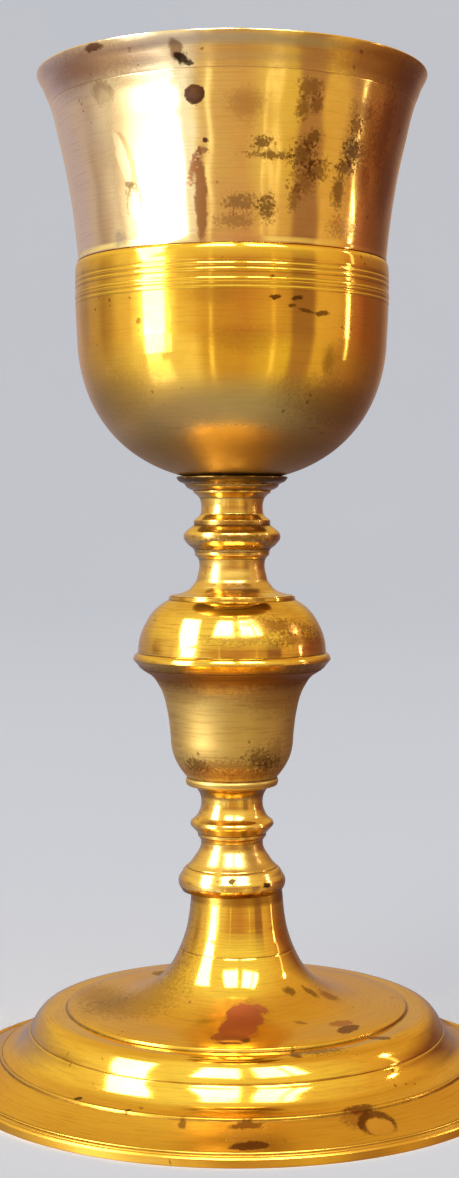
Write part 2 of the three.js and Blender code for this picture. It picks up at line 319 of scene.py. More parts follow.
# Tarnish in three depths, the gold inside a ring of it, and the copper-red of bare brass
BROWN, RUST, BLACK = "#5a2a10", "#7c3a14", "#2a1810"
GOLD, STAIN = "#d9a545", "#a0583a"

foot_top = 45.2
foot_outside = moulding(
    (65.8, 0), (68.8, 0), (68.8, 1.75), (68.4, 2.2), (67.85, 2.2), (67.65, 1.95), (67.4, 2.25),
    (66.75, 2.3), (66.5, 2.62), (66.2, 2.45), (57.95, 6.35, 162, 150), (57.85, 6.9), (57.6, 7.05),
    (57.3, 6.95), (52.9, 8.85, 165, 132), (50.85, 11.65, 130, 116), (50.65, 11.95), (50.35, 12.0),
    (50.3, 12.3), (48.4, 15.3, 114, 130), (41.85, 16.7, 132, 177), (41.6, 16.8), (41.4, 17.35),
    (41.15, 17.5), (40.8, 17.55), (21.5, 21.5, 172, 146), (14.0, 31.0, 146, 113), (13.84, 31.2),
    (13.8, 31.45), (11.1, foot_top, 112, 95), (0, foot_top))
foot_inside = moulding(
    (0, 43.0), (9.4, 43.0), (12.4, 31.2, 275, 292), (20.4, 20.2, 292, 326), (41.0, 15.9, 326, 352),
    (44.5, 15.4, 350, 340), (48.9, 11.4, 320, 297), (56.6, 5.2, 297, 330), (65.8, 0, 330, 338))
foot_over = eased(foot_outside, 0.14, 0.42)
foot_under = eased(foot_inside, 0.5, 1.6)
under_way, over_way = length(foot_under[0]), length(foot_over[0])
foot_sides = 216
foot_oval = 0.05


def hammered_oval(a, r, z):
    """A little oval, by 1 + sin of twice the angle. The edge that it stands on and the trumpet are true."""
    return -foot_oval * (1 + np.sin(2 * a + 0.6)) * (z > 0.01) * (r > 12)


foot = turned("foot", *joined(foot_under, foot_over), foot_sides, 0.0, hammered_oval)
foot_stains = [
    (1.8, -24.0, 4.5, 3.7, -14, 0.07, 0.97, STAIN, 0.6),
    (0.1, -29.0, 4.6, 5.6, -14, 0.07, 0.97, STAIN, 0.5),
    (-1.6, -34.2, 4.6, 4.2, -14, 0.07, 0.97, STAIN, 0.5),
    (5.2, -21.2, 2.4, 1.0, -10, 0.15, 0.9, STAIN, 0.9),
    (-1.4, -35.4, 4.2, 3.0, -8, 0.5, 0.45, BROWN, 0.6),
    (-2.0, -38.2, 3.6, 0.7, -4, 0.2, 0.85, "#4a1c0c", 0.5),
    (-1.5, -36.9, 2.7, 0.6, -4, 0.25, 0.8, GOLD, 0.6),
    (1.9, -36.4, 0.9, 1.4, -14, 0.3, 0.8, "#4a1c0c", 0.6),
    (24.2, -22.5, 3.2, 1.9, 35, 0.15, 0.7, STAIN, 0.9),
    (25.6, -26.6, 4.0, 1.9, 55, 0.12, 0.85, "#6a2c14", 0.5),
    (32.6, -29.8, 2.6, 1.3, 10, 0.25, 0.8, BROWN, 0.9), (11.5, -41.6, 2.8, 1.2, 8, 0.3, 0.75, BROWN, 0.9),
    (13.0, -43.6, 1.2, 1.3, 0, 0.3, 0.75, BROWN, 0.6), (18.0, -40.4, 5.5, 1.8, 18, 0.5, 0.65, BROWN, 3.5),
    (12.5, -14.0, 1.8, 0.9, 30, 0.3, 0.7, BROWN, 0.9), (17.8, -10.0, 2.0, 1.0, 10, 0.3, 0.65, BROWN, 0.9),
    (22.3, -6.5, 2.6, 1.8, 40, 0.4, 0.65, RUST, 1.5), (15.0, -24.0, 1.5, 0.8, 0, 0.3, 0.5, BROWN, 0.9),
    (1.8, -58.6, 3.6, 0.9, 4, 0.25, 0.8, BROWN, 0.9), (2.2, -61.5, 4.6, 3.0, 0, 0.5, 0.35, RUST, 1.5),
    (2.6, -64.0, 4.4, 1.3, 6, 0.15, 0.9, "#52200e", 0.5),
    (26.6, -50.4, 3.6, 1.2, 28, 0.25, 0.75, BROWN, 1.2), (25.6, -53.2, 3.2, 2.6, 20, 0.4, 0.6, RUST, 2.0),
    (30.3, -53.2, 4.6, 3.4, 30, 0.1, 0.85, BROWN, 0.4), (30.9, -54.0, 3.4, 2.5, 30, 0.12, 0.9, GOLD, 0.5),
    (-25.0, -9.0, 12.0, 9.0, -15, 0.5, 0.5, "#74502c", 3.0),
    (-33.0, 2.0, 6.0, 12.0, 20, 0.5, 0.5, "#74502c", 3.0),
    (-35.5, -44.0, 0.9, 0.8, 0, 0.3, 0.9, BLACK, 0.2), (-24.0, -52.0, 0.8, 0.7, 0, 0.3, 0.8, BROWN, 0.2),
    (-12.0, -57.5, 0.9, 1.2, 0, 0.3, 0.7, BROWN, 0.4), (10.0, 34.0, 7.0, 5.0, 30, 0.3, 0.7, RUST, 2.0),
    (-30.0, 44.0, 5.0, 3.0, 10, 0.3, 0.6, BROWN, 1.5), (52.0, 20.0, 4.0, 6.0, 0, 0.3, 0.6, RUST, 2.0),
    (-18.0, 24.0, 3.0, 5.0, 40, 0.2, 0.7, BROWN, 0.8)]
# Raised brass that was turned and gilt: a clear, warm mirror on the steps, satin on the plate and the brim,
# and dark at the top of the trumpet with tarnish and painted shadow under the collar
foot_metal = gilding(
    "raised and turned gilt brass, stained", 0.0, 50, "#f8d05e", "#eebb4c", 0.08, foot_stains, flat=True,
    dull=[(20.2, 3.8, 0.26, "#dda848", 0.5), (1.5, 8.0, 0.24, "#d8a242", 0.5),
          # The band at 45 mm, on the trumpet's top under the collar, is dark brown: partly tarnish, partly
          # painted shadow.
          (45.0, 2.6, 0.26, "#8a5a24", 0.7)],
    outer=(under_way, under_way + over_way))
fit(foot, foot_metal, "foot")

# Lower knop
# The lower knop is cast brass, turned and gilt: a round collar on the trumpet, a waist, a sharp ring and a
# second waist. It stands 1.2 mm to one side of the foot's centre, as the real one does.

stem_x = -1.2
lower_outline = moulding(
    (0, 45.2), (12.1, 45.2), (13.1, 47.6, 55, 90), (12.45, 49.3, 90, 125), (11.25, 50.95, 125, 148),
    (11.05, 50.95), (10.95, 51.2), (9.4, 53.0, 137, 125), (7.55, 57.1, 122, 90), (8.1, 58.35, 90, 60),
    (8.35, 58.55), (8.4, 59.4), (8.65, 59.6), (10.1, 61.2, 50, 50), (10.2, 61.5), (9.75, 62.5, 100, 140),
    (8.3, 64.0, 145, 118), (7.5, 67.0, 115, 90), (8.5, 70.0, 88, 55), (9.2, 70.65, 50, 45), (0, 70.7))
knop_sides = 160
lower_knop = turned("lower_knop", *eased(lower_outline, 0.12, 0.3), knop_sides, stem_x)
lower_stains_and_shadow = [
    # The first band, all round the foot of the collar, is partly tarnish and partly painted shade on the
    # collar's underside, above the foot's top.
    (0.0, 45.7, 90.0, 0.8, 0, 0.5, 0.8, BROWN, 2.0), (0.0, 69.6, 90.0, 1.4, 0, 0.6, 0.5, BROWN, 1.5),
    (0.0, 49.5, 0.9, 0.7, 0, 0.3, 0.95, BLACK, 0.2), (8.7, 48.0, 1.1, 0.7, 10, 0.3, 0.95, BLACK, 0.3),
    (-5.0, 46.5, 1.6, 0.6, 0, 0.4, 0.7, BROWN, 0.6), (3.4, 46.2, 2.2, 0.6, 0, 0.4, 0.7, BROWN, 0.6),
    (7.0, 54.5, 3.0, 3.0, 0, 0.6, 0.5, BROWN, 1.4), (-8.0, 62.5, 4.0, 0.9, 0, 0.5, 0.5, RUST, 1.0)]
# Cast brass that was turned and gilt: bright on the crests, nearly black in the lines beside them
lower_metal = gilding(
    "cast and turned gilt brass, collar and lower waist", stem_x, 12.5, "#fadb86", "#e8bb60", 0.13,
    lower_stains_and_shadow, dull=[(55, 6, 0.2, "#d8b070", 0.4)], grime=1.0)
fit(lower_knop, lower_metal, "lower_knop")

# Node
# The node is cast brass, turned and gilt: a bell-shaped body with a small lip below, a sharp ring that stands
# out above it, and a polished dome. The bell is duller and scuffed around its foot.

node_outline = moulding(
    (0, 70.7), (9.7, 70.7), (11.2, 71.5, 20, 80), (11.33, 72.3, 90, 100), (11.0, 72.8, 120, 160),
    (11.05, 73.1), (14.95, 82.3, 50, 87), (15.35, 86.6, 88, 84), (16.0, 90.3, 82, 78),
    (17.4, 94.7, 78, 65), (19.9, 98.1, 58, 38), (21.9, 99.3, 30, 30), (22.05, 99.65), (22.5, 99.8),
    (23.9, 101.6, 60, 55), (24.05, 101.75), (24.05, 102.0), (23.2, 103.3, 105, 150), (22.85, 103.4),
    (22.9, 103.65), (22.75, 105.5, 92, 96), (21.2, 110.3, 98, 117), (15.75, 116.1, 117, 150),
    (15.45, 116.2), (15.4, 116.4), (15.35, 117.1), (0, 117.15))
bell_sides = 200


def flat(a, z, place, height, wide, tall, depth):
    """A shallow flat in the wall, wide degrees and tall mm to each side of its middle."""
    u, v = (np.degrees(a) - place) / wide, (z - height) / tall
    return -depth * np.clip(1 - u ** 2, 0, 1) ** 2 * np.clip(1 - v ** 2, 0, 1) ** 2


bell = turned("node", *eased(node_outline, 0.12, 0.34), bell_sides, stem_x,
              lambda a, r, z: flat(a, z, -38, 108, 26, 6.5, 0.3))
node_stains_and_shade = [
    (-1.0, 77.2, 15.0, 1.5, 0, 0.5, 0.5, "#6b4522", 5.0),
    (8.0, 78.8, 4.0, 2.0, -15, 0.5, 0.7, "#5c3a1c", 4.5),
    (11.5, 77.0, 3.5, 1.6, 10, 0.5, 0.6, "#5c3a1c", 4.5),
    (-11.5, 77.0, 3.5, 1.8, 10, 0.5, 0.65, "#5c3a1c", 4.5),
    (-3.0, 75.0, 30.0, 1.2, 0, 0.5, 0.5, RUST, 3.0), (12.5, 80.5, 3.0, 3.0, 0, 0.5, 0.4, BROWN, 3.0),
    # A dark band all round the bell's upper flare, under the ring: partly tarnish, partly painted shade where
    # the ring overhangs it.
    (0.0, 98.4, 90.0, 2.6, 0, 0.6, 0.75, "#6a3414", 0.8),
    (12.0, 94.0, 10.0, 4.0, 0, 0.6, 0.45, RUST, 1.6), (-14.0, 94.5, 7.0, 3.0, 0, 0.6, 0.4, BROWN, 1.2),
    (10.5, 110.5, 8.0, 1.6, -8, 0.5, 0.7, RUST, 4.5), (13.0, 107.5, 5.0, 1.4, 0, 0.5, 0.6, RUST, 4.5),
    (1.0, 108.0, 5.0, 1.2, 0, 0.5, 0.45, RUST, 4.0)]
# Cast brass that was turned and gilt: the dome is a clear mirror, and the bell has a soft, greyish sheen
bell_metal = gilding(
    "cast and turned gilt brass, domed node", stem_x, 16.5, "#f7d268", "#e9b953", 0.08, node_stains_and_shade,
    dull=[(84, 20, 0.45, "#c2a96c", 0.9)], brushed=0.4)
fit(bell, bell_metal, "node")

# Upper knop
# The upper knop is cast brass, turned and gilt: a flared root on the node, a neck, a round ring, a waist and
# the flange that carries the cup holder. The flange is dark under its edge, partly with tarnish and partly
# with painted shade beneath the cup holder.

upper_outline = moulding(
    (0, 117.15), (14.95, 117.15), (14.9, 117.35), (11.4, 118.2, 172, 160), (9.85, 119.35, 155, 130),
    (8.5, 121.5, 125, 100), (7.95, 124.5, 98, 90), (8.2, 126.2, 88, 70), (9.0, 127.05, 50, 30),
    (9.1, 127.2), (9.1, 127.9), (9.35, 128.5), (9.4, 128.6), (10.8, 129.75, 45, 50),
    (11.8, 131.6, 50, 90), (10.7, 133.4, 90, 140), (9.4, 134.25, 150, 160), (9.3, 134.4), (9.3, 135.6),
    (8.5, 136.15, 150, 140), (7.6, 137.4, 135, 100), (7.5, 139.0, 95, 88), (7.9, 140.9, 85, 70),
    (9.1, 142.1, 55, 40), (9.4, 142.2), (9.45, 142.75), (11.2, 143.7, 20, 40), (11.4, 144.15, 90, 100),
    (11.5, 144.3), (13.3, 145.5, 30, 60), (13.5, 145.75), (13.5, 146.05), (13.3, 146.15), (0, 146.15))
upper_knop = turned("upper_knop", *eased(upper_outline, 0.12, 0.3), knop_sides, stem_x)
upper_stains_and_shade = [
    # The darkest band, under the flange's edge, is partly tarnish and partly painted shade beneath the cup
    # holder.
    (0.0, 145.3, 40.0, 0.9, 0, 0.3, 0.85, "#3a1c0e", 0.8),
    (0.0, 143.4, 40.0, 0.8, 0, 0.5, 0.5, BROWN, 2.5), (0.0, 134.6, 40.0, 0.6, 0, 0.5, 0.6, BROWN, 1.5),
    (2.0, 131.4, 9.0, 0.8, 0, 0.5, 0.65, BROWN, 3.5), (0.0, 129.0, 40.0, 0.7, 0, 0.5, 0.55, BROWN, 1.5),
    (2.5, 118.8, 4.0, 0.9, 0, 0.4, 0.7, BROWN, 2.5), (7.0, 139.0, 3.0, 3.0, 0, 0.5, 0.4, RUST, 2.0)]
# The same casting metal as the lower knop, a little more tarnished under the flange, and darkened there with
# painted shade
upper_metal = gilding(
    "cast and turned gilt brass, ring and flange", stem_x, 9.5, "#fadb86", "#e8bb60", 0.14,
    upper_stains_and_shade, dull=[(123, 5, 0.22, "#d8b070", 0.4)], grime=1.0)
fit(upper_knop, upper_metal, "upper_knop")

# Cup holder
# The cup holder is a bowl of sheet brass, spun, turned and highly polished, then gilt. Two groups of turned
# lines run round it below the rim, which is drawn in a little where the cup leaves it.

holder_outline = moulding(
    (0, 146.15), (11.5, 146.15), (37.35, 177.3, 14, 86), (37.8, 187.2, 88, 89), (37.88, 187.4),
    (37.88, 187.6), (37.8, 187.9), (37.8, 188.25), (37.9, 188.55), (37.9, 188.8), (37.84, 189.0),
    (37.9, 189.2), (37.9, 189.45), (37.8, 189.75), (37.79, 190.9), (37.9, 191.2), (37.9, 191.55),
    (37.8, 191.85), (37.8, 192.2), (37.9, 192.5), (37.9, 192.8), (37.8, 193.05), (37.8, 193.4),
    (37.88, 193.7), (37.82, 195.3, 91, 94), (37.15, 197.35, 95, 140), (36.9, 197.45), (36.75, 197.4),
    (36.7, 197.3), (36.7, 193.75))
holder_inside = moulding((36.7, 193.75), (36.2, 177.3), (11.5, 147.3, 266, 194), (0, 147.3))
holder_sides = 288


def waviness(seed, count, across, along, depth):
    """A smooth unevenness of the wall: the mean of count waves that run at random directions.

    across waves go round the piece, and along is a wave's length up it, in mm. depth is its height in mm."""
    random = np.random.default_rng(seed)
    round_ = random.integers(-across, across + 1, count)
    rise = random.uniform(-1, 1, count) * 2 * np.pi / along
    phase = random.uniform(0, 2 * np.pi, count)

    def uneven(a, r, z):
        total = sum(np.sin(n * a + k * z + p) for n, k, p in zip(round_, rise, phase))
        return depth * total / np.sqrt(count)

    return uneven


ripple = 0.012
rippled = waviness(4, 9, 5, 40, ripple)


def spun(a, r, z):
    """The ripple that the spinning left, below the turned lines and on the upright outer wall alone."""
    return (rippled(a, r, z) - ripple) * (r > 36.9) * (z < 186)


holder_profile = joined(eased(holder_outline, 0.1, 0.5), eased(holder_inside, 0.5, 1.8))
holder = turned("cup_holder", *holder_profile, holder_sides, stem_x, spun)
holder_stains = [
    (9.7, 185.4, 1.5, 0.55, 0, 0.25, 0.9, BROWN, 0.5), (14.6, 185.2, 1.4, 0.6, 10, 0.25, 0.9, BROWN, 0.5),
    (13.6, 183.4, 0.8, 0.35, 0, 0.4, 0.8, BROWN, 0.5), (17.4, 182.5, 2.2, 0.5, -10, 0.4, 0.8, BROWN, 0.8),
    (21.4, 182.1, 2.0, 0.5, 5, 0.4, 0.8, BROWN, 0.8), (8.8, 189.9, 0.7, 0.35, 0, 0.4, 0.7, BROWN, 0.3),
    (24.0, 172.0, 1.6, 3.0, 0, 0.6, 0.5, BROWN, 1.0),
    (-33.0, 164.0, 13.0, 4.5, 12, 0.6, 0.35, "#6a5430", 1.6),
    (30.0, 162.0, 16.0, 5.0, -8, 0.6, 0.5, "#5e3c1e", 1.6),
    (-4.0, 186.0, 5.0, 2.0, 0, 0.6, 0.25, RUST, 1.2),
    (-44.0, 184.0, 3.0, 9.0, 0, 0.6, 0.3, "#7a5426", 1.0), (3.0, 176.0, 8.0, 2.6, 0, 0.6, 0.25, RUST, 1.6)]
# Spun brass with a high polish under the gold: it mirrors the window sharply, and turns satin underneath,
# with painted shade darkening the bottom of the bowl
holder_metal = gilding(
    "spun and polished gilt brass, turned lines", stem_x, 37.5, "#fad25c", "#f0bd48", 0.085, holder_stains,
    # The narrower, darker band is partly olive-brown wear and partly painted shade, darker towards the bottom
    # of the bowl.
    dull=[(146, 27, 0.26, "#cdae70", 0.75), (146, 12, 0.23, "#8f7040", 0.65)], grime=0.45, brushed=0.14)
fit(holder, holder_metal, "cup_holder")

# Cup
# The cup is beaten silver, gilt inside and out, with a flared lip. The gilding is worn to the silver on its
# left and spotted with tarnish, and the hammer has left the wall a little uneven.

cup_outline = moulding(
    (0, 147.6), (11.5, 147.6), (35.85, 177.3, 14, 86), (36.4, 193.75), (36.4, 197.45), (37.3, 197.45),
    (37.3, 197.75), (37.5, 200.0), (38.8, 211.1, 84, 82), (41.45, 225.1, 81, 77), (43.75, 234.3, 76, 73),
    (43.75, 234.5), (43.85, 234.7), (45.3, 238.4, 72, 71), (46.83, 241.45, 70, 66), (46.92, 241.7),
    (46.83, 241.95), (46.5, 242.03), (46.2, 241.9), (45.95, 241.5))
cup_inside = moulding(
    (45.95, 241.5), (42.8, 234.6, 247, 253), (37.8, 211.1, 257, 262), (36.4, 199.0, 264, 268),
    (35.4, 193.75, 268, 270), (34.85, 177.3), (11.5, 148.6, 266, 194), (0, 148.6))
cup_over = eased(cup_outline, 0.12, 0.75)
cup_within = eased(cup_inside, 0.5, 1.0)
cup_sides = 280
dent = 0.03
beaten = waviness(11, 46, 26, 13, dent)
broad = waviness(5, 10, 6, 45, dent)


def folded(a, z, place, wide, depth, low, high):
    """A soft step in the wall at the angle place, wide degrees across: the wall sinks by depth beyond it, and
    comes back to its circle over 70 degrees more. It fades out over 6 mm below low and 8 mm above high."""
    recovery = 70
    beyond = (np.degrees(a) - place) * np.sign(depth)
    step = np.clip(beyond / wide + 0.5, 0, 1)
    back = np.where(beyond > 0, np.clip(1 - (beyond - wide / 2) / recovery, 0, 1), 1)
    reach = np.clip((z - low) / 6 + 1, 0, 1) * np.clip((high - z) / 8 + 1, 0, 1)
    return -abs(depth) * step ** 2 * (3 - 2 * step) * back * reach * (beyond < recovery + wide)


fold_low, fold_high = 198, 232
left_fold, right_fold = (-20, 17, -1.1), (10.5, 6, 0.22)
inset = 0.05


def beaten_wall(a, r, z):
    """The hammer's dents and two folds, above the holder's edge. They fade out 3 mm below the lip."""
    dents = beaten(a, r, z) + broad(a, r, z) - inset
    folds = folded(a, z, *left_fold, fold_low, fold_high) + folded(a, z, *right_fold, fold_low, fold_high)
    return (dents + folds) * (z > 198.5) * np.clip((242 - z) / 3, 0, 1)


cup = turned("cup", *joined(cup_over, cup_within), cup_sides, stem_x, beaten_wall)
cup_stains = [
    (-24.0, 215.0, 7.3, 21.0, 0, 0.25, 0.95, "#cdb68e", 0.5),
    (-31.0, 238.2, 12.0, 3.2, 0, 0.6, 0.5, "#93573c", 0.6),
    (0.0, 238.4, 90.0, 3.4, 0, 0.5, 0.3, "#a4683c", 0.4),
    (-38.0, 236.0, 9.0, 4.0, 0, 0.6, 0.4, "#93634c", 0.6),
    (36.0, 238.0, 13.0, 4.0, 0, 0.6, 0.5, "#8a4424", 0.9),
    (-29.5, 240.9, 2.6, 0.8, 0, 0.3, 0.85, BROWN, 0.5),
    (-8.0, 229.0, 2.2, 2.1, 0, 0.08, 0.95, "#451c1c", 0.25),
    (-8.1, 229.0, 1.1, 1.0, 0, 0.4, 0.25, "#8a6a5c", 2.5),
    (-8.2, 231.8, 1.6, 2.2, 0, 0.6, 0.3, "#8a5c30", 0.6),
    (-11.2, 238.0, 1.3, 2.2, 10, 0.3, 0.8, "#7a5034", 1.0),
    (-10.2, 236.4, 1.6, 1.2, -20, 0.2, 0.95, BLACK, 0.9),
    (-8.6, 235.4, 0.8, 0.6, 0, 0.3, 0.9, BLACK, 0.8),
    (-31.0, 231.8, 3.0, 2.6, 0, 0.3, 0.55, "#8a6a44", 1.2),
    (-30.7, 230.4, 1.8, 2.2, 0, 0.3, 0.5, "#e8d8b8", 0.8),
    (-26.8, 216.8, 2.0, 6.6, 14, 0.12, 0.6, "#9a7c50", 0.3),
    (-28.0, 217.2, 1.5, 6.0, 14, 0.15, 0.7, "#ecdcba", 0.3),
    (-26.9, 211.3, 1.4, 0.7, -30, 0.3, 0.7, "#5c4c30", 1.6),
    (-25.9, 207.5, 2.3, 3.9, -4, 0.15, 0.7, "#6c5c3a", 1.8),
    (-25.9, 206.8, 1.7, 3.2, -4, 0.2, 0.7, "#efdfba", 1.4),
    (-31.5, 199.6, 1.8, 1.8, 0, 0.5, 0.5, "#6c6878", 2.0),
    (-6.0, 219.3, 0.6, 0.5, 0, 0.3, 0.95, "#4c1820", 0.3),
    (-6.8, 217.2, 1.2, 0.8, 0, 0.3, 0.75, "#7a4a34", 1.6),
    (-9.0, 213.6, 0.8, 3.6, -20, 0.4, 0.8, "#8a3c18", 4.5),
    (-7.4, 206.5, 1.5, 9.5, 0, 0.18, 0.85, "#8a4f2a", 0.5),
    (-8.6, 212.0, 1.2, 3.0, 0, 0.5, 0.4, "#a4703c", 1.0),
    (7.2, 219.0, 2.2, 1.2, 5, 0.4, 0.75, BROWN, 5.0), (9.5, 216.4, 5.0, 0.8, 0, 0.4, 0.7, BROWN, 4.5),
    (15.6, 226.6, 1.5, 2.6, 0, 0.4, 0.7, "#7a4626", 3.0),
    (19.0, 227.8, 1.3, 2.0, 0, 0.4, 0.7, "#7a4626", 3.0),
    (17.0, 231.0, 2.6, 2.0, 0, 0.4, 0.65, "#7a4626", 3.5),
    (18.6, 220.3, 2.6, 1.5, 35, 0.4, 0.75, "#6a3c1e", 3.5),
    (16.6, 216.6, 3.0, 2.6, 0, 0.5, 0.75, "#6a3c1e", 4.5),
    (17.6, 211.5, 2.6, 3.0, 0, 0.5, 0.6, "#7a4626", 4.5),
    (15.0, 207.5, 1.3, 3.0, -15, 0.4, 0.65, "#7a4626", 3.0),
    (20.5, 214.0, 3.0, 2.0, 0, 0.5, 0.6, BROWN, 5.0),
    (30.6, 219.0, 3.0, 3.2, 0, 0.5, 0.9, "#4c2e1c", 4.0),
    (29.0, 215.0, 3.0, 1.6, 0, 0.4, 0.8, "#5c3820", 4.0),
    (27.2, 209.5, 1.8, 3.6, 0, 0.5, 0.8, "#6c4420", 3.0),
    (30.4, 224.5, 2.0, 2.0, 0, 0.4, 0.75, "#643a1e", 4.0),
    (31.5, 228.0, 3.2, 2.2, 0, 0.5, 0.6, "#7c4e26", 2.5),
    (35.0, 222.0, 2.6, 9.0, 5, 0.6, 0.6, "#7e2e14", 1.6),
    (40.5, 225.0, 3.0, 8.0, 0, 0.6, 0.5, "#7e2e14", 1.6),
    (35.5, 212.0, 2.4, 4.0, 0, 0.6, 0.5, "#8e441c", 1.6),
    (46.0, 214.0, 4.0, 7.0, 0, 0.6, 0.4, "#7a6440", 2.5), (2.0, 206.0, 3.4, 1.6, 0, 0.5, 0.6, BROWN, 5.0),
    (8.4, 205.0, 1.8, 2.6, 0, 0.5, 0.75, BROWN, 5.0), (0.5, 202.0, 4.0, 1.4, 0, 0.5, 0.5, "#7a4a28", 4.0),
    (3.0, 227.0, 4.0, 3.0, 0, 0.6, 0.4, "#8c4420", 1.5), (30.0, 202.0, 4.5, 2.2, 0, 0.5, 0.5, RUST, 3.5),
    (48.0, 216.0, 9.0, 26.0, 0, 0.6, 0.5, "#7a3216", 0.8),
    (56.0, 232.0, 14.0, 9.0, 0, 0.6, 0.4, "#7a3216", 1.0)]
# Beaten silver whose gold is rubbed off on the left: a pale satin glow there, warm gold and tarnish beside it
cup_metal = gilding(
    "beaten silver with worn gilding", stem_x, 40.5, "#ffdd82", "#f1c45e", 0.1, cup_stains,
    silver="#fff3dc", brushed=0.15, grime=0.4, outer=(0, length(cup_over[0])))
fit(cup, cup_metal, "cup")

# Floor and light
# The chalice stands on a pale studio sweep, a floor that turns up into a wall all round. Its light comes from
# tall windows on the left and above, and the metal mirrors the room's darker and lighter walls.

floor_outline = moulding((0, -0.02), (2400, -0.02), (3600, 1200, 0, 90), (3600, 4000))
floor_points, floor_bends = eased(floor_outline, 40, 120, 0.3)
floor = turned("floor", floor_points[::-1], floor_bends[::-1], 96, 0.0)
paper = bpy.data.materials.new("pale studio paper")
paper.use_nodes = True
tree = paper.node_tree
tree.nodes.clear()
grain = node(tree, "ShaderNodeTexNoise", {"Vector": node(tree, "ShaderNodeTexCoord", out=3), "Scale": 3.0})
tone = node(tree, "ShaderNodeMix", {0: grain, 6: linear("#d3d5db"), 7: linear("#cfd2da")}, out=2,
            data_type="RGBA")
lit = node(tree, "ShaderNodeBsdfDiffuse", {"Color": tone, "Roughness": 0.5})
glow = node(tree, "ShaderNodeEmission", {"Color": tone, "Strength": 0.8})
node(tree, "ShaderNodeOutputMaterial", {0: node(tree, "ShaderNodeAddShader", {0: lit, 1: glow})})
floor.data.materials.append(paper)
floor.visible_glossy = False
floor.visible_diffuse = False
floor.visible_shadow = False

world = bpy.data.worlds.new("studio room")
bpy.context.scene.world = world
world.use_nodes = True
tree = world.node_tree
tree.nodes.clear()
way = node(tree, "ShaderNodeSeparateXYZ", {0: node(tree, "ShaderNodeTexCoord", out=0)}).node
front = node(tree, "ShaderNodeMath", {0: way.outputs[1], 1: -1.0}, operation="MULTIPLY")
bearing = node(tree, "ShaderNodeMath", {0: way.outputs[0], 1: front}, operation="ARCTAN2")
dial = node(tree, "ShaderNodeMapRange", {0: bearing, 1: -np.pi, 2: np.pi, 3: 0.0, 4: 1.0})


def compass(*tones):
    """Stops of a ramp round the horizon: tones at bearings in degrees, 0 behind the camera and + right."""
    return [((b + 180) / 360, (*rgb, 1.0)) for b, rgb in tones]


level = node(tree, "ShaderNodeValToRGB", {0: dial}, stops=compass(
    (-180, (0.52, 0.40, 0.36)), (-132, (0.50, 0.40, 0.42)), (-116, (0.56, 0.42, 0.34)),
    (-107, (0.41, 0.28, 0.19)), (-99, (0.54, 0.38, 0.24)), (-90, (0.86, 0.68, 0.44)),
    (-79, (0.92, 0.75, 0.48)), (-70, (1.9, 1.65, 1.1)), (-47, (1.9, 1.65, 1.1)),
    (-40, (0.95, 0.80, 0.46)), (-24, (0.76, 0.50, 0.24)), (-16.6, (0.68, 0.44, 0.22)),
    (-15.4, (1.10, 0.84, 0.44)), (-14.2, (0.62, 0.38, 0.19)), (9, (0.58, 0.30, 0.18)),
    (28.5, (0.70, 0.44, 0.20)), (30.0, (1.0, 0.68, 0.3)), (31.5, (0.68, 0.42, 0.20)),
    (42, (0.60, 0.36, 0.18)), (44.5, (0.34, 0.18, 0.14)), (61, (0.34, 0.18, 0.14)),
    (64, (0.80, 0.54, 0.26)), (84, (0.72, 0.46, 0.20)), (93, (0.50, 0.22, 0.14)),
    (103, (0.44, 0.17, 0.12)), (112, (0.27, 0.10, 0.08)), (140, (0.21, 0.10, 0.09)),
    (180, (0.52, 0.40, 0.36))))
lower = node(tree, "ShaderNodeValToRGB", {0: dial}, stops=compass(
    (-180, (0.32, 0.28, 0.34)), (-140, (0.34, 0.30, 0.40)), (-118, (0.46, 0.38, 0.40)),
    (-104, (0.54, 0.44, 0.38)), (-88, (0.72, 0.60, 0.42)), (-76, (0.96, 0.84, 0.56)),
    (-60, (1.04, 0.95, 0.70)), (-46, (1.02, 0.96, 0.72)), (-28, (1.10, 1.00, 0.72)),
    (-21, (0.76, 0.57, 0.27)), (-16.4, (0.70, 0.52, 0.22)), (-15.0, (2.2, 1.9, 1.1)),
    (-13.6, (0.68, 0.48, 0.20)), (9, (0.66, 0.42, 0.18)), (20, (0.74, 0.55, 0.20)),
    (28.5, (0.80, 0.62, 0.20)), (30.0, (1.7, 1.4, 0.7)), (31.5, (0.80, 0.62, 0.20)),
    (42, (0.78, 0.60, 0.18)), (45, (0.44, 0.26, 0.17)), (60, (0.44, 0.26, 0.17)),
    (63, (0.74, 0.52, 0.20)), (76, (0.70, 0.48, 0.20)), (84, (0.46, 0.27, 0.18)),
    (95, (0.44, 0.25, 0.14)), (108, (0.31, 0.16, 0.10)), (125, (0.21, 0.11, 0.10)),
    (150, (0.18, 0.11, 0.13)), (180, (0.32, 0.28, 0.34))))
above = node(tree, "ShaderNodeValToRGB", {0: dial}, stops=compass(
    (-180, (0.78, 0.55, 0.16)), (-140, (0.84, 0.66, 0.26)), (-80, (1.08, 0.96, 0.50)),
    (-20, (1.04, 0.98, 0.50)), (40, (1.00, 0.90, 0.42)), (90, (0.84, 0.60, 0.26)),
    (130, (0.70, 0.46, 0.16)), (180, (0.78, 0.55, 0.16))))
below = node(tree, "ShaderNodeValToRGB", {0: dial}, stops=compass(
    (-180, (0.20, 0.17, 0.22)), (-110, (0.28, 0.26, 0.34)), (-75, (0.46, 0.40, 0.46)),
    (-10, (0.52, 0.50, 0.52)), (30, (0.48, 0.47, 0.46)), (75, (0.30, 0.27, 0.28)),
    (120, (0.17, 0.11, 0.14)), (180, (0.20, 0.17, 0.22))))
tilt = node(tree, "ShaderNodeMath", {0: way.outputs[2]}, operation="ARCSINE")
seen = level
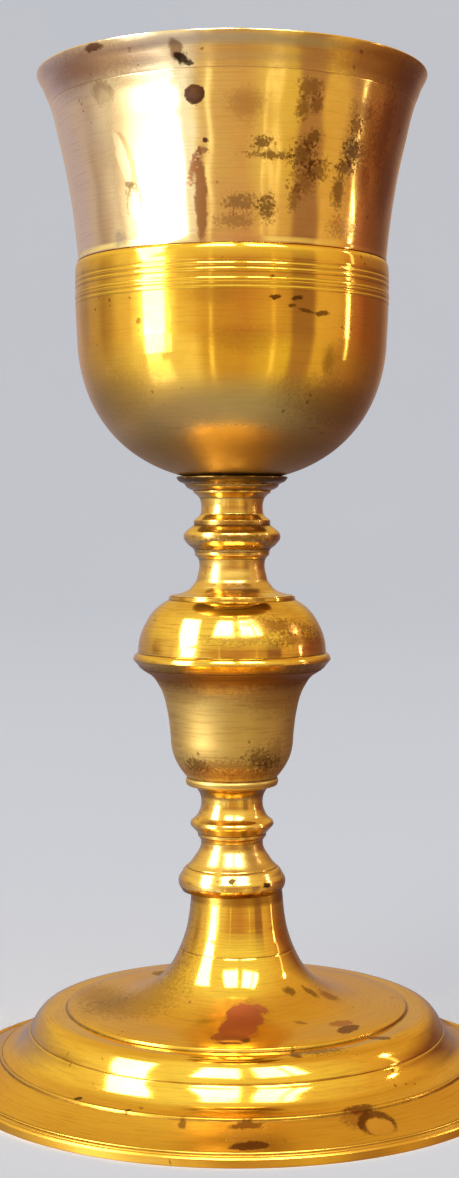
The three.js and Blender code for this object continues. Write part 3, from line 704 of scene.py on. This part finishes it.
for tones, start, end in ((above, 6, 26), (lower, 3, -9), (below, -28, -46)):
    part = node(tree, "ShaderNodeMapRange",
                {0: tilt, 1: np.radians(start), 2: np.radians(end), 3: 0.0, 4: 1.0})
    seen = node(tree, "ShaderNodeMix", {0: part, 6: seen, 7: tones}, out=2, data_type="RGBA")
room = node(tree, "ShaderNodeBackground", {"Color": seen, "Strength": 1.0})
node(tree, "ShaderNodeOutputWorld", {0: room})


node_height = 0.13


def window(name, bearing_from, bearing_to, low, high, distance, strength, mirrored=True, roll=0,
           upright=False):
    """A lit pane as wide and high as it looks from the node: bearings and heights in degrees, metres away.

    It faces the node, or stands upright in its wall. A mirrored pane shows in the metal alone, and the others
    light the floor alone. roll leans its top to the left, in degrees."""
    middle, half = np.radians((bearing_from + bearing_to) / 2), np.radians(bearing_to - bearing_from) / 2
    rise = 0 if upright else np.radians((low + high) / 2)
    bottom, top = distance * np.tan(np.radians(low) - rise), distance * np.tan(np.radians(high) - rise)
    light = bpy.data.lights.new(name, "AREA")
    light.shape = "RECTANGLE"
    light.size = 2 * distance * np.tan(half) * np.cos(rise)
    light.size_y = top - bottom
    light.energy = strength * light.size * light.size_y * np.pi
    light.color = linear("#fff8ee")[:3]
    lamp = bpy.data.objects.new(name, light)
    up = distance * np.sin(rise) + (bottom + top) / 2 * np.cos(rise)
    level_away = distance * np.cos(rise)
    lamp.location = (level_away * np.sin(middle), -level_away * np.cos(middle), node_height + up)
    facing = Euler((np.pi / 2 - rise, 0, middle)).to_matrix() @ Matrix.Rotation(np.radians(roll), 3, "Z")
    lamp.rotation_euler = facing.to_euler()
    lamp.visible_camera = False
    lamp.visible_diffuse = not mirrored
    lamp.visible_glossy = mirrored
    bpy.context.scene.collection.objects.link(lamp)


# Metres to the room's walls and to its skylight, and how bright the daylight is in the glass
wall, skylight, daylight = 2.6, 1.8, 11
window("tall window", -67, -49, 1, 13, wall, daylight)
window("tall window, lower part", -66, -50, -9, 1, wall, 9)
window("tall window, side pane", -49, -45, -9, 1, wall, 3)
window("tall window, sill", -66, -54, -16, -9, wall, 1.8)
window("tall window, foot", -68, -47, -30, -16, wall, 0.9)
window("tall window, upper part", -79, -55, 13, 52, wall, daylight, roll=22)
window("high pane, left", -28, 1.5, 38, 63, skylight, daylight, upright=True)
window("high pane, middle", 13, 33, 38, 63, skylight, daylight, upright=True)
window("high pane, right", 36, 44.5, 38, 63, skylight, daylight, upright=True)
window("door ajar", 90.5, 93, 1, 9, wall, 8)
window("door ajar, lower part", 91, 93, -9, 1, wall, 2.5)
window("door ajar, upper part", 95.5, 98, 9, 26, wall, 1.5)
window("wall lamp", 97, 100.5, 27, 32, wall, 25)
window("key", -70, -20, 30, 70, 2.4, 1.6, mirrored=False)
window("ceiling", -60, 60, 50, 130, 2.2, 0.5, mirrored=False)
world.cycles_visibility.diffuse = False

# The camera stands close by, a little above the middle of the chalice, and looks slightly down
camera = bpy.data.objects.new("camera", bpy.data.cameras.new("camera"))
camera.data.lens = 57.17
camera.data.sensor_width = 36
camera.location = (-0.00181, -0.45538, 0.13606)
camera.rotation_euler = (np.radians(87.831), 0, 0)
bpy.context.scene.collection.objects.link(camera)
bpy.context.scene.camera = camera
bpy.context.scene.view_settings.view_transform = "Standard"
bpy.context.scene.view_settings.look = "None"
